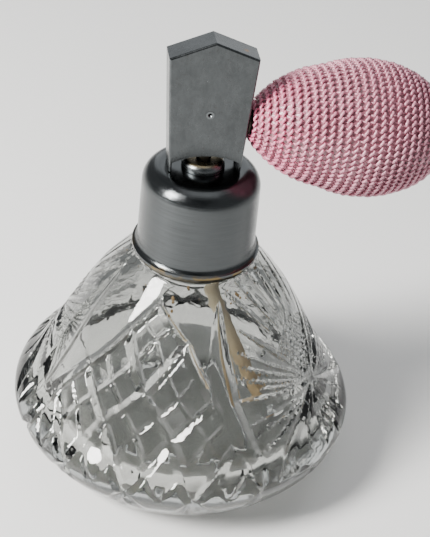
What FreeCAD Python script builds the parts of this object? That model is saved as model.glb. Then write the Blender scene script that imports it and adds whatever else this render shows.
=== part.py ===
"""Cut glass perfume atomiser with a knitted squeeze bulb.

A conical cut glass bottle stands on a ring foot.  A brass ferrule is cemented round its neck
and a chromed screw collar closes it.  A flanged bush stands through the collar's top, and the
keystone shaped spray head turns in that bush.  The head carries the spray block, the jet, the
riser with its dip tube, and a rubber bulb in a knitted cover that points to +X.

Frame: millimetres, +Z up, origin in the middle of the resting face, the jet faces -Y.
"""
import FreeCAD, Part
import math
import os
import Sketcher
from FreeCAD import Placement, Rotation, Vector

doc = FreeCAD.newDocument("perfume_atomiser")

# ---------------------------------------------------------------- driving dimensions (mm)
SIZES = {
    # glass bottle
    "base_radius": 37.5,
    "foot_radius": 26.0,
    "foot_recess": 1.2,
    "belly_radius": 50.0,
    "belly_height": 17.5,
    "belly_lower_radius": 46.4,
    "belly_lower_height": 9.0,
    "cone_low_radius": 45.4,
    "cone_low_height": 23.4,
    "cone_top_radius": 28.4,
    "cone_top_height": 54.0,
    "shoulder_radius": 17.6,
    "shoulder_height": 67.0,
    "neck_radius": 11.2,
    "neck_top": 79.0,
    "bore_radius": 8.0,
    "cavity_floor": 9.0,
    "cavity_radius": 40.5,
    "cavity_wide_height": 18.5,
    "flute_count": 4,
    "flute_radius": 11.0,
    "flute_depth": 0.9,
    "flute_half_length": 23.5,
    "flute_turn": 18.4,
    # neck fittings
    "ferrule_bore": 12.0,
    "ferrule_radius": 14.1,
    "ferrule_bottom": 69.3,
    "ferrule_top": 79.6,
    "ferrule_flange_radius": 15.2,
    "thread_height": 0.42,
    "thread_pitch": 2.5,
    "cement_radius": 16.6,
    "washer_bore": 6.8,
    "washer_radius": 13.7,
    "washer_thickness": 1.35,
    # screw collar
    "collar_bottom": 69.0,
    "collar_rim_radius": 17.8,
    "collar_low_radius": 16.5,
    "collar_radius": 16.2,
    "collar_top": 94.5,
    "collar_shoulder": 5.2,
    "collar_wall": 1.3,
    "collar_bore": 14.75,
    # bush that the head turns in
    "bush_flange_radius": 5.9,
    "bush_flange_top_radius": 4.6,
    "bush_flange_height": 2.6,
    "bush_barrel_radius": 4.2,
    "bush_shoulder_radius": 7.0,
    "bush_spigot_radius": 4.0,
    "bush_bottom": 78.5,
    "seal_plate_radius": 13.8,
    "seal_plate_thickness": 1.4,
    "bush_nut_radius": 6.0,
    # spray head
    "stem_radius": 2.0,
    "stem_bore": 1.0,
    "stem_bottom": 73.0,
    "head_bottom": 94.8,
    "head_low_half_width": 9.7,
    "head_top_half_width": 11.7,
    "head_shoulder": 128.0,
    "head_apex": 132.6,
    "head_depth": 7.5,
    "sheet_thickness": 0.6,
    "arch_spring": 2.7,
    "arch_rise": 4.8,
    "spray_height": 112.0,
    "block_width": 14.0,
    "block_depth": 5.9,
    "block_bottom": 104.0,
    "block_top": 117.0,
    "jet_radius": 1.1,
    "jet_orifice": 0.3,
    # dip tube
    "dip_radius": 2.0,
    "dip_bore": 1.2,
    "dip_bottom": 11.5,
    # bulb
    "bulb_start": 10.6,
    "bulb_height": 108.4,
    "bulb_droop": 3.2,
    "bulb_widest": 18.4,
    "knit_thickness": 1.2,
    "rubber_thickness": 1.4,
    "layer_gap": 0.12,
    "pad_length": 24.0,
    "pad_width": 17.0,
    "pad_centre": 31.0,
    "pad_gap": 0.35,
}

sheet = doc.addObject("Spreadsheet::Sheet", "Dims")
for row, (name, size) in enumerate(SIZES.items(), start=1):
    sheet.set("A%d" % row, name)
    sheet.set("B%d" % row, str(size))
    sheet.setAlias("B%d" % row, name)
doc.recompute()

SUB_PARTS = []


# ---------------------------------------------------------------- helpers
def terms(spec):
    """A coordinate is a number, a size name, or a tuple of those that are added up."""
    return spec if isinstance(spec, tuple) else (spec,)


def value(spec):
    """Number that a coordinate stands for; a leading minus subtracts the named size."""
    total = 0.0
    for term in terms(spec):
        if isinstance(term, str):
            total += -SIZES[term[1:]] if term.startswith("-") else SIZES[term]
        else:
            total += term
    return total


def formula(spec):
    """The same coordinate as a spreadsheet expression."""
    text = ""
    for term in terms(spec):
        if isinstance(term, str):
            text += " - Dims." + term[1:] if term.startswith("-") else " + Dims." + term
        else:
            text += " + (%.6f)" % term
    return "0" + text


def origin_plane(body, role):
    """Origin plane of a body, found by its role."""
    for feature in body.Origin.OriginFeatures:
        if feature.Role == role:
            return feature
    raise ValueError("no plane " + role)


def new_body(label):
    """Body that becomes the sub-part called label."""
    body = doc.addObject("PartDesign::Body", label)
    body.Label = label
    return body


def new_sketch(body, plane, name):
    """Sketch on one of the body's own origin planes."""
    sketch = body.newObject("Sketcher::SketchObject", name)
    sketch.AttachmentSupport = [(origin_plane(body, plane), "")]
    sketch.MapMode = "FlatFace"
    return sketch


def pin_coordinate(sketch, kind, geo, end, spec):
    """Tie one coordinate of a vertex to the sheet; zero puts it on the axis."""
    number = value(spec)
    if abs(number) < 1e-9:
        axis = -2 if kind == "DistanceX" else -1
        sketch.addConstraint(Sketcher.Constraint("PointOnObject", geo, end, axis))
        return
    if number > 0:
        index = sketch.addConstraint(Sketcher.Constraint(kind, -1, 1, geo, end, number))
        text = formula(spec)
    else:
        index = sketch.addConstraint(Sketcher.Constraint(kind, geo, end, -1, 1, -number))
        text = "-(" + formula(spec) + ")"
    if any(isinstance(term, str) for term in terms(spec)):
        sketch.setExpression("Constraints[%d]" % index, text)


def outline(body, plane, name, points, arcs=None):
    """Closed outline through points; arcs maps a segment's number to a point on its arc."""
    arcs = arcs or {}
    sketch = new_sketch(body, plane, name)
    places = [Vector(value(x), value(y), 0) for x, y in points]
    ends = []
    for index, start in enumerate(places):
        stop = places[(index + 1) % len(places)]
        if index in arcs:
            middle = Vector(value(arcs[index][0]), value(arcs[index][1]), 0)
            turns_left = (middle - start).cross(stop - middle).z > 0
            if turns_left:
                geo = sketch.addGeometry(Part.Arc(start, middle, stop), False)
                ends.append((geo, 1, 2))
            else:
                geo = sketch.addGeometry(Part.Arc(stop, middle, start), False)
                ends.append((geo, 2, 1))
            radius = sketch.Geometry[geo].Radius
            if radius > 0.501 * start.distanceToPoint(stop):
                sketch.addConstraint(Sketcher.Constraint("Radius", geo, radius))
            else:
                pin_coordinate(sketch, "DistanceX", geo, 3, sketch.Geometry[geo].Center.x)
        else:
            geo = sketch.addGeometry(Part.LineSegment(start, stop), False)
            ends.append((geo, 1, 2))
    for index, (geo, first, last) in enumerate(ends):
        after = ends[(index + 1) % len(ends)]
        sketch.addConstraint(Sketcher.Constraint("Coincident", geo, last, after[0], after[1]))
    for (geo, first, last), (x, y) in zip(ends, points):
        pin_coordinate(sketch, "DistanceX", geo, first, x)
        pin_coordinate(sketch, "DistanceY", geo, first, y)
    return sketch


def circle(body, plane, name, x, y, radius):
    """Circle whose centre and radius come from the sheet."""
    sketch = new_sketch(body, plane, name)
    shape = Part.Circle(Vector(value(x), value(y), 0), Vector(0, 0, 1), value(radius))
    geo = sketch.addGeometry(shape, False)
    index = sketch.addConstraint(Sketcher.Constraint("Radius", geo, value(radius)))
    sketch.setExpression("Constraints[%d]" % index, formula(radius))
    pin_coordinate(sketch, "DistanceX", geo, 3, x)
    pin_coordinate(sketch, "DistanceY", geo, 3, y)
    return sketch


def revolve(body, sketch, axis="V_Axis"):
    """Full turn of a sketch about its vertical or horizontal axis."""
    turn = body.newObject("PartDesign::Revolution", sketch.Name + "_turn")
    turn.Profile = sketch
    turn.ReferenceAxis = (sketch, [axis])
    turn.Angle = 360.0
    sketch.Visibility = False
    return turn


def pad_both_ways(body, sketch, length):
    """Pad centred on the sketch plane."""
    pad = body.newObject("PartDesign::Pad", sketch.Name + "_pad")
    pad.Profile = sketch
    pad.Midplane = True
    pad.setExpression("Length", formula(length))
    return pad


def pocket_both_ways(body, sketch, length):
    """Pocket centred on the sketch plane; it has to remove material."""
    doc.recompute()
    before = body.Shape.Volume
    pocket = body.newObject("PartDesign::Pocket", sketch.Name + "_cut")
    pocket.Profile = sketch
    pocket.Midplane = True
    pocket.setExpression("Length", formula(length))
    doc.recompute()
    if body.Shape.Volume >= before - 1e-6:
        raise RuntimeError(pocket.Name + " removes nothing")
    return pocket


def pocket_one_way(body, sketch, length, reverse=False):
    """Pocket to one side of the sketch plane; it has to remove material."""
    doc.recompute()
    before = body.Shape.Volume
    pocket = body.newObject("PartDesign::Pocket", sketch.Name + "_cut")
    pocket.Profile = sketch
    pocket.Reversed = reverse
    pocket.setExpression("Length", formula(length))
    doc.recompute()
    if body.Shape.Volume >= before - 1e-6:
        raise RuntimeError(pocket.Name + " removes nothing")
    return pocket


def turned_part(label, points, arcs=None):
    """Sub-part turned about the vertical axis from its half section."""
    body = new_body(label)
    revolve(body, outline(body, "XZ_Plane", label + "_section", points, arcs))
    SUB_PARTS.append(body)
    return body


def place_in_bulb(part, along=0.0):
    """Move a piece drawn along +X onto the drooping bulb axis, along mm from its start."""
    droop = Rotation(Vector(0, 1, 0), SIZES["bulb_droop"])
    step = droop.multVec(Vector(along, 0, 0))
    part.Placement = Placement(
        Vector(SIZES["bulb_start"], 0, SIZES["bulb_height"]) + step, droop)
    part.setExpression("Placement.Base.x", formula(("bulb_start", step.x)))
    part.setExpression("Placement.Base.z", formula(("bulb_height", step.z)))


def bulb_turned_part(label, points, arcs=None):
    """Sub-part turned about the bulb axis from its half section."""
    body = new_body(label)
    revolve(body, outline(body, "XZ_Plane", label + "_section", points, arcs), "H_Axis")
    place_in_bulb(body)
    SUB_PARTS.append(body)
    return body


# ---------------------------------------------------------------- glass bottle
bottle = new_body("glass_bottle")
bottle_section = outline(
    bottle, "XZ_Plane", "bottle_section",
    [
        (0, 0),
        ("foot_radius", 0),
        (("foot_radius", 2.0), "foot_recess"),
        (("foot_radius", 4.0), 0),
        ("base_radius", 0),
        ("belly_lower_radius", "belly_lower_height"),
        ("cone_low_radius", "cone_low_height"),
        ("cone_top_radius", "cone_top_height"),
        ("shoulder_radius", "shoulder_height"),
        ("neck_radius", "shoulder_height"),
        ("neck_radius", "neck_top"),
        ("bore_radius", "neck_top"),
        ("bore_radius", ("shoulder_height", -3.0)),
        ("cavity_radius", "cavity_wide_height"),
        (("cavity_radius", -6.0), "cavity_floor"),
        (0, "cavity_floor"),
    ],
    {
        4: (("base_radius", 5.2), ("belly_lower_height", -4.4)),
        5: ("belly_radius", "belly_height"),
        12: (("cavity_radius", -13.0), ("cavity_wide_height", 25.1)),
        13: (("cavity_radius", -1.3), ("cavity_floor", 3.6)),
    },
)
revolve(bottle, bottle_section)
SUB_PARTS.append(bottle)

# upright lens shaped cuts on the cone: a barrel shaped groove, repeated about the axis
doc.recompute()
plain_volume = bottle.Shape.Volume
flute_sketch = new_sketch(bottle, "XZ_Plane", "flute_section")
slope = math.atan2(
    SIZES["cone_low_radius"] - SIZES["cone_top_radius"],
    SIZES["cone_top_height"] - SIZES["cone_low_height"],
)
mid_r = 0.5 * (SIZES["cone_low_radius"] + SIZES["cone_top_radius"])
mid_z = 0.5 * (SIZES["cone_low_height"] + SIZES["cone_top_height"])
half_cut = Vector(-math.sin(slope), math.cos(slope), 0) * SIZES["flute_half_length"]
cut_from = Vector(mid_r, mid_z, 0) - half_cut
cut_to = Vector(mid_r, mid_z, 0) + half_cut
outward = Vector(math.cos(slope), math.sin(slope), 0)
deepest = Vector(mid_r, mid_z, 0) - outward * SIZES["flute_depth"]
lift = outward * SIZES["flute_radius"]
arc_edge = flute_sketch.addGeometry(Part.Arc(cut_to, deepest, cut_from), False)
SIDES = [
    Part.LineSegment(cut_from, cut_from + lift),
    Part.LineSegment(cut_from + lift, cut_to + lift),
    Part.LineSegment(cut_to + lift, cut_to),
]
for side in SIDES:
    flute_sketch.addGeometry(side, False)
flute_axis = flute_sketch.addGeometry(Part.LineSegment(cut_from + lift, cut_to + lift), True)
flute = bottle.newObject("PartDesign::Groove", "flute")
flute.Profile = flute_sketch
flute.ReferenceAxis = (flute_sketch, ["Axis0"])
flute.Angle = 360.0
doc.recompute()
flutes = bottle.newObject("PartDesign::PolarPattern", "flutes")
flutes.Originals = [flute]
flutes.Axis = (bottle_section, ["V_Axis"])
flutes.Angle = 360.0
flutes.setExpression("Occurrences", "Dims.flute_count")
bottle.Tip = flutes
doc.recompute()
if bottle.Shape.Volume > plain_volume - 10.0:
    raise RuntimeError("the flutes remove too little glass")
bottle.Placement = Placement(Vector(0, 0, 0), Rotation(Vector(0, 0, 1), SIZES["flute_turn"]))

# ---------------------------------------------------------------- neck fittings
turned_part("neck_cement", [
    ("neck_radius", ("shoulder_height", 0.0)),
    ("cement_radius", ("shoulder_height", 0.0)),
    (("cement_radius", -0.6), ("shoulder_height", 1.3)),
    (("ferrule_flange_radius", -0.6), ("ferrule_bottom", 0.0)),
    ("ferrule_bore", ("ferrule_bottom", 0.0)),
    ("ferrule_bore", ("neck_top", -0.4)),
    ("neck_radius", ("neck_top", -0.4)),
])

ferrule = turned_part("neck_ferrule", [
    ("ferrule_bore", "ferrule_bottom"),
    ("ferrule_flange_radius", "ferrule_bottom"),
    ("ferrule_flange_radius", ("ferrule_bottom", 1.0)),
    ("ferrule_radius", ("ferrule_bottom", 1.0)),
    ("ferrule_radius", ("ferrule_top", -0.4)),
    (("ferrule_radius", -0.4), "ferrule_top"),
    (("bore_radius", 0.5), "ferrule_top"),
    (("bore_radius", 0.5), "neck_top"),
    ("ferrule_bore", "neck_top"),
])
ridge = outline(ferrule, "XZ_Plane", "thread_ridge", [
    (("ferrule_radius", -0.3), ("ferrule_bottom", 1.9)),
    (("ferrule_radius", "thread_height"), ("ferrule_bottom", 2.5)),
    (("ferrule_radius", "thread_height"), ("ferrule_bottom", 2.8)),
    (("ferrule_radius", -0.3), ("ferrule_bottom", 3.4)),
])
doc.recompute()
ferrule_plain = ferrule.Shape.Volume
thread = ferrule.newObject("PartDesign::AdditiveHelix", "ferrule_thread")
thread.Profile = ridge
thread.ReferenceAxis = (ridge, ["V_Axis"])
thread.Mode = 0
thread.setExpression("Pitch", "Dims.thread_pitch")
thread.Height = 5.0
doc.recompute()
print("thread adds", round(ferrule.Shape.Volume - ferrule_plain, 2), "mm3")

turned_part("neck_washer", [
    ("washer_bore", ("ferrule_top", 0.15)),
    ("washer_radius", ("ferrule_top", 0.15)),
    ("washer_radius", ("ferrule_top", 0.15, "washer_thickness")),
    ("washer_bore", ("ferrule_top", 0.15, "washer_thickness")),
])

# ---------------------------------------------------------------- screw collar
turned_part("screw_collar", [
    (("collar_bore", 0.85), "collar_bottom"),
    ("collar_rim_radius", "collar_bottom"),
    ("collar_rim_radius", ("collar_bottom", 0.7)),
    ("collar_low_radius", ("collar_bottom", 2.6)),
    ("collar_radius", ("collar_top", "-collar_shoulder")),
    (("collar_radius", "-collar_shoulder"), "collar_top"),
    (("bush_barrel_radius", 0.05), "collar_top"),
    (("bush_barrel_radius", 0.05), ("collar_top", "-collar_wall")),
    (("collar_radius", "-collar_shoulder"), ("collar_top", "-collar_wall")),
    (("collar_radius", "-collar_wall"), ("collar_top", "-collar_shoulder")),
    ("collar_bore", ("collar_bottom", 13.0)),
    ("collar_bore", ("collar_bottom", 2.2)),
    (("collar_bore", 0.85), ("collar_bottom", 2.2)),
], {
    2: (("collar_low_radius", 0.35), ("collar_bottom", 1.45)),
    4: (("collar_radius", -1.523), ("collar_top", -1.523)),
    8: (("collar_radius", -2.442), ("collar_top", -2.442)),
})

# ---------------------------------------------------------------- bush, seal plate and nut
BUSH_SHOULDER_BOTTOM = ("ferrule_top", 0.3, "washer_thickness", "seal_plate_thickness")
turned_part("stem_bush", [
    (("stem_radius", 0.05), "bush_bottom"),
    ("bush_spigot_radius", "bush_bottom"),
    ("bush_spigot_radius", BUSH_SHOULDER_BOTTOM),
    ("bush_shoulder_radius", BUSH_SHOULDER_BOTTOM),
    ("bush_shoulder_radius", ("collar_top", "-collar_wall", -0.15)),
    ("bush_barrel_radius", ("collar_top", "-collar_wall", -0.15)),
    ("bush_barrel_radius", ("collar_top", 0.12)),
    ("bush_flange_radius", ("collar_top", 0.12)),
    ("bush_flange_radius", ("collar_top", 0.7)),
    ("bush_flange_top_radius", ("collar_top", "bush_flange_height")),
    (("stem_radius", 0.05), ("collar_top", "bush_flange_height")),
], {8: (("bush_flange_top_radius", 0.95), ("collar_top", "bush_flange_height", -0.75))})

turned_part("seal_plate", [
    (("bush_spigot_radius", 0.03), ("ferrule_top", 0.3, "washer_thickness")),
    ("seal_plate_radius", ("ferrule_top", 0.3, "washer_thickness")),
    ("seal_plate_radius", (-0.03,) + BUSH_SHOULDER_BOTTOM),
    (("bush_spigot_radius", 0.03), (-0.03,) + BUSH_SHOULDER_BOTTOM),
])

# hexagon nut that holds the seal plate on the bush
nut = new_body("bush_nut")
HEX = [60.0 * k for k in range(6)]
nut_sketch = new_sketch(nut, "XY_Plane", "nut_outline")
corners = [
    Vector(SIZES["bush_nut_radius"] * math.cos(math.radians(a)),
           SIZES["bush_nut_radius"] * math.sin(math.radians(a)), 0)
    for a in HEX
]
for index in range(6):
    nut_sketch.addGeometry(Part.LineSegment(corners[index], corners[(index + 1) % 6]), False)
for index in range(6):
    nut_sketch.addConstraint(Sketcher.Constraint("Coincident", index, 2, (index + 1) % 6, 1))
nut_pad = nut.newObject("PartDesign::Pad", "nut_pad")
nut_pad.Profile = nut_sketch
nut_pad.Length = 1.8
nut_hole = circle(nut, "XY_Plane", "nut_hole", 0, 0, ("bush_spigot_radius", 0.03))
pocket_both_ways(nut, nut_hole, (8.0,))
nut.setExpression("Placement.Base.z", formula(("ferrule_top", 0.27, "washer_thickness", -1.8)))
SUB_PARTS.append(nut)

# ---------------------------------------------------------------- riser and dip tube
turned_part("stem_tube", [
    ("stem_bore", "stem_bottom"),
    ("stem_radius", "stem_bottom"),
    ("stem_radius", ("block_bottom", 5.0)),
    ("stem_bore", ("block_bottom", 5.0)),
])
turned_part("stem_clip", [
    (("stem_radius", 0.02), ("bush_bottom", -1.1)),
    (("stem_radius", 1.4), ("bush_bottom", -1.1)),
    (("stem_radius", 1.4), ("bush_bottom", -0.3)),
    (("stem_radius", 0.02), ("bush_bottom", -0.3)),
])
turned_part("tube_socket", [
    (("stem_radius", 0.03), ("stem_bottom", -5.0)),
    (("stem_radius", 0.9), ("stem_bottom", -4.6)),
    (("stem_radius", 0.9), ("stem_bottom", 3.8)),
    (("stem_radius", 0.03), ("stem_bottom", 4.1)),
])
dip = turned_part("dip_tube", [
    ("dip_bore", "dip_bottom"),
    ("dip_radius", "dip_bottom"),
    ("dip_radius", ("stem_bottom", -0.1)),
    ("dip_bore", ("stem_bottom", -0.1)),
])
# the lower end is cut on the slant so that it can't seal against the floor of the bottle
slant = outline(dip, "XZ_Plane", "slant_cut", [
    (("-dip_radius", -1.0), ("dip_bottom", -1.0)),
    (("dip_radius", 1.0), ("dip_bottom", -1.0)),
    (("dip_radius", 1.0), ("dip_bottom", 3.4)),
    (("-dip_radius", -1.0), ("dip_bottom", -0.2)),
])
pocket_both_ways(dip, slant, (20.0,))

# ---------------------------------------------------------------- spray head
head = new_body("head_shell")
head_outline = outline(head, "XZ_Plane", "head_outline", [
    ("-head_low_half_width", "head_bottom"),
    ("head_low_half_width", "head_bottom"),
    ("head_top_half_width", "head_shoulder"),
    (0, "head_apex"),
    ("-head_top_half_width", "head_shoulder"),
])
head_pad = pad_both_ways(head, head_outline, "head_depth")
doc.recompute()
# soften the folded edges of the front and rear faces
RIM_EDGES = []
for number, edge in enumerate(head.Shape.Edges, start=1):
    box = edge.BoundBox
    flat = box.YLength < 1e-6
    raised = box.ZMax > SIZES["head_bottom"] + 0.5
    if flat and raised:
        RIM_EDGES.append("Edge%d" % number)
softened = head.newObject("PartDesign::Fillet", "softened_edges")
softened.Base = (head_pad, RIM_EDGES)
softened.Radius = 0.55
head_hollow = outline(head, "XZ_Plane", "head_hollow", [
    (("-head_low_half_width", "sheet_thickness"), ("head_bottom", -2.0)),
    (("head_low_half_width", "-sheet_thickness"), ("head_bottom", -2.0)),
    (("head_top_half_width", "-sheet_thickness"), ("head_shoulder", -0.4)),
    (0, ("head_apex", -0.75)),
    (("-head_top_half_width", "sheet_thickness"), ("head_shoulder", -0.4)),
])
pocket_both_ways(head, head_hollow, ("head_depth", "-sheet_thickness", "-sheet_thickness"))
arch = outline(head, "XZ_Plane", "head_arch", [
    (("-head_low_half_width", "sheet_thickness", 0.1), ("head_bottom", -1.0)),
    (("head_low_half_width", "-sheet_thickness", -0.1), ("head_bottom", -1.0)),
    (("head_low_half_width", "-sheet_thickness", -0.1), ("head_bottom", "arch_spring")),
    (("-head_low_half_width", "sheet_thickness", 0.1), ("head_bottom", "arch_spring")),
], {2: (0, ("head_bottom", "arch_rise"))})
pocket_both_ways(head, arch, ("head_depth", 2.0))
jet_hole = circle(head, "XZ_Plane", "jet_hole", 0, "spray_height", ("jet_radius", 0.03))
pocket_one_way(head, jet_hole, ("head_depth",), reverse=True)
nipple_hole = circle(head, "YZ_Plane", "nipple_hole", 0, "bulb_height", (2.6,))
pocket_one_way(head, nipple_hole, (20.0,), reverse=True)
SUB_PARTS.append(head)

block = new_body("spray_block")
block_outline = outline(block, "XZ_Plane", "block_outline", [
    ((-7.0,), "block_bottom"),
    ((7.0,), "block_bottom"),
    ((7.0,), "block_top"),
    ((-7.0,), "block_top"),
])
pad_both_ways(block, block_outline, "block_depth")
riser_bore = circle(block, "XY_Plane", "riser_bore", 0, 0, ("stem_radius", 0.02))
pocket_one_way(block, riser_bore, ("block_bottom", 5.05), reverse=True)
liquid_way = circle(block, "XY_Plane", "liquid_way", 0, 0, (0.7,))
pocket_one_way(block, liquid_way, ("spray_height", 0.7), reverse=True)
jet_seat = circle(block, "XZ_Plane", "jet_seat", 0, "spray_height", ("jet_radius", 0.02))
pocket_one_way(block, jet_seat, ("block_depth",), reverse=True)
air_way = circle(block, "YZ_Plane", "air_way", 0, "bulb_height", (1.0,))
pocket_one_way(block, air_way, (20.0,), reverse=True)
SUB_PARTS.append(block)

jet = new_body("jet_nozzle")
jet_section = outline(jet, "XZ_Plane", "jet_section", [
    (0, 0.4),
    (0.45, 0.4),
    (0.45, 1.6),
    ("jet_orifice", 2.4),
    ("jet_orifice", 3.5),
    (0.6, 3.82),
    ("jet_radius", 3.82),
    ("jet_radius", 0),
    (0, 0),
])
revolve(jet, jet_section)
jet.Placement = Placement(Vector(0, 0, SIZES["spray_height"]), Rotation(Vector(1, 0, 0), 90))
jet.setExpression("Placement.Base.z", formula("spray_height"))
SUB_PARTS.append(jet)

# ---------------------------------------------------------------- bulb, along +X from the head
bulb_turned_part("bulb_nipple", [
    (-3.4, 0.9),
    (-3.4, 2.3),
    (0.04, 2.3),
    (0.04, 3.6),
    (0.42, 3.6),
    (0.42, 2.2),
    (4.0, 2.2),
    (4.4, 2.9),
    (6.2, 2.2),
    (6.6, 2.9),
    (8.4, 2.2),
    (9.0, 2.6),
    (10.0, 2.0),
    (10.0, 0.9),
])  # barbed tube with a flange against the housing's side

# places (distance along the bulb, radius) that the cover's outer arcs run through
OUTER = [(0.55, 4.3), (8.0, 11.5), (20.0, 16.1), (31.5, 18.35), (43.0, 16.2), (51.0, 10.8),
         (55.0, 3.6)]


def arc_circle(first, middle, last):
    """Centre and radius of the circle through three places."""
    points = [Vector(u, r, 0) for u, r in (first, middle, last)]
    circle_edge = Part.Arc(*points).toShape().Curve
    return circle_edge.Center, circle_edge.Radius


CIRCLES = [arc_circle(*OUTER[k:k + 3]) for k in (0, 2, 4)]


def circle_height(index, along, depth):
    """Height of one arc, moved inwards by depth, at a distance along the bulb."""
    centre, radius = CIRCLES[index]
    return centre.y + math.sqrt((radius - depth) ** 2 - (along - centre.x) ** 2)


def layer_radius(along, depth):
    """Radius of the cover's outer surface moved inwards by depth."""
    if along == OUTER[2][0]:
        return 0.5 * (circle_height(0, along, depth) + circle_height(1, along, depth))
    if along == OUTER[4][0]:
        return 0.5 * (circle_height(1, along, depth) + circle_height(2, along, depth))
    index = 0 if along < OUTER[2][0] else (1 if along < OUTER[4][0] else 2)
    return circle_height(index, along, depth)


def tail_place(radius, depth):
    """Distance along the bulb where the moved surface comes down to a radius at the tail."""
    centre, size = CIRCLES[2]
    return centre.x + math.sqrt((size - depth) ** 2 - (radius - centre.y) ** 2)


def front_place(radius, depth):
    """Distance along the bulb where the moved surface starts at a radius at the front."""
    centre, size = CIRCLES[0]
    return centre.x - math.sqrt((size - depth) ** 2 - (radius - centre.y) ** 2)


def curve(depth, front, tail):
    """Places on the moved surface: nodes and arc middles from the front to the tail."""
    ends = (front, OUTER[2][0], OUTER[4][0], tail)
    places = []
    for start, stop in zip(ends, ends[1:]):
        places.append((start, layer_radius(start, depth)))
        middle = 0.5 * (start + stop) if stop != tail else start + 0.66 * (stop - start)
        places.append((middle, layer_radius(middle, depth)))
    places.append((tail, layer_radius(tail, depth)))
    return places


TAIL_HOLE = 2.75
FRONT_HOLE = 2.6
RUBBER_NECK = 3.9
RUBBER_NECK_BORE = 3.0


def shell_section(outside, inside, with_neck):
    """Closed section between two moved surfaces; with_neck adds a straight tube in front."""
    if with_neck:
        outer = curve(outside, 10.6, tail_place(TAIL_HOLE + 0.9, outside))
        inner = curve(inside, 11.6, tail_place(TAIL_HOLE, inside))
        points = [(1.8, RUBBER_NECK), (8.0, RUBBER_NECK)]
    else:
        outer = curve(outside, OUTER[0][0], OUTER[6][0])
        inner = curve(inside, front_place(FRONT_HOLE, inside), tail_place(TAIL_HOLE, inside))
        points = []
    first = len(points)
    points += [outer[0], outer[2], outer[4], outer[6]]
    arcs = {first: outer[1], first + 1: outer[3], first + 2: outer[5]}
    points.append((outer[6][0], TAIL_HOLE))
    first = len(points)
    points += [inner[6], inner[4], inner[2], inner[0]]
    arcs.update({first: inner[5], first + 1: inner[3], first + 2: inner[1]})
    if with_neck:
        points += [(9.6, RUBBER_NECK_BORE), (1.8, RUBBER_NECK_BORE)]
    else:
        points.append((OUTER[0][0], FRONT_HOLE))
    return points, arcs


def bulb_layer(name, outside, inside, with_neck):
    """One layer of the bulb as a turned body in the bulb's own frame."""
    points, arcs = shell_section(outside, inside, with_neck)
    body = new_body(name)
    revolve(body, outline(body, "XZ_Plane", name + "_section", points, arcs), "H_Axis")
    return body


def pad_prism(name, gap, upward):
    """Upright prism with round ends that cuts the movable wall out of a layer."""
    body = new_body(name)
    half_run = 0.5 * (SIZES["pad_length"] - SIZES["pad_width"])
    half_width = 0.5 * SIZES["pad_width"] - gap
    centre = SIZES["pad_centre"]
    low = -half_width
    sketch = outline(body, "XY_Plane", name + "_outline", [
        (centre - half_run, low),
        (centre + half_run, low),
        (centre + half_run, half_width),
        (centre - half_run, half_width),
    ], {
        1: (centre + half_run + half_width, 0),
        3: (centre - half_run - half_width, 0),
    })
    pad = body.newObject("PartDesign::Pad", name + "_pad")
    pad.Profile = sketch
    pad.Length = 24.0
    pad.Reversed = not upward
    return body


def boolean(kind, label, base, tool):
    """Cut or common of two bodies, placed on the bulb axis."""
    result = doc.addObject("Part::" + kind, label)
    result.Label = label
    result.Base = base
    result.Tool = tool
    place_in_bulb(result)
    return result


KNIT_IN = SIZES["knit_thickness"]
RUBBER_OUT = KNIT_IN + SIZES["layer_gap"]
RUBBER_IN = RUBBER_OUT + SIZES["rubber_thickness"]
LAYERS = {
    "knit": ("knit_cover", 0.0, KNIT_IN, False),
    "rubber": ("rubber_bulb", RUBBER_OUT, RUBBER_IN, True),
}
for short, (label, outside, inside, with_neck) in LAYERS.items():
    layer = bulb_layer(short + "_layer", outside, inside, with_neck)
    hole_top = pad_prism(short + "_hole_top", 0.0, True)
    hole_bottom = pad_prism(short + "_hole_bottom", 0.0, False)
    holes = doc.addObject("Part::Fuse", short + "_holes")
    holes.Base = hole_top
    holes.Tool = hole_bottom
    SUB_PARTS.append(boolean("Cut", label, layer, holes))
    for side, upward in (("top", True), ("bottom", False)):
        whole = bulb_layer(short + "_whole_" + side, outside, inside, with_neck)
        prism = pad_prism(short + "_prism_" + side, SIZES["pad_gap"], upward)
        SUB_PARTS.append(boolean("Common", short + "_wall_" + side, whole, prism))

bulb_turned_part("neck_binding", [
    (3.4, RUBBER_NECK + 0.03), (3.4, 4.7), (5.8, 4.7), (5.8, RUBBER_NECK + 0.03),
])
bulb_turned_part("valve_body", [
    (47.5, 1.2), (47.5, 2.6), (55.2, 2.6), (55.2, 3.5), (56.0, 3.5), (56.0, 0.8),
    (53.5, 0.8), (52.7, 1.6), (48.5, 1.6), (48.5, 1.2),
])
ball = doc.addObject("Part::Sphere", "valve_ball")
ball.Label = "valve_ball"
ball.Radius = 1.25
place_in_bulb(ball, 49.95)
SUB_PARTS.append(ball)

# ---------------------------------------------------------------- check and write
doc.recompute()
for item in doc.Objects:
    bad = [flag for flag in item.State if flag in ("Invalid", "Error")]
    if bad:
        raise RuntimeError("%s is %s" % (item.Label, bad))

os.makedirs("parts", exist_ok=True)
for part in SUB_PARTS:
    shape = part.Shape
    if shape.isNull() or not shape.isValid():
        raise RuntimeError(part.Label + " has no valid shape")
    shape.exportStep("parts/%s.step" % part.Label)
    box = shape.optimalBoundingBox(False, False)
    print("%-18s %2d solids %9.1f mm3  x %.1f..%.1f y %.1f..%.1f z %.1f..%.1f" % (
        part.Label, len(shape.Solids), shape.Volume,
        box.XMin, box.XMax, box.YMin, box.YMax, box.ZMin, box.ZMax))
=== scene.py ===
"""Cut glass perfume atomiser: the visual model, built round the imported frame.

Lengths inside the shape functions are millimetres; MM turns them into metres for the meshes.
The bottle's axis is +Z, the jet faces -Y and the bulb points to +X.
"""
import math

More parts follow.
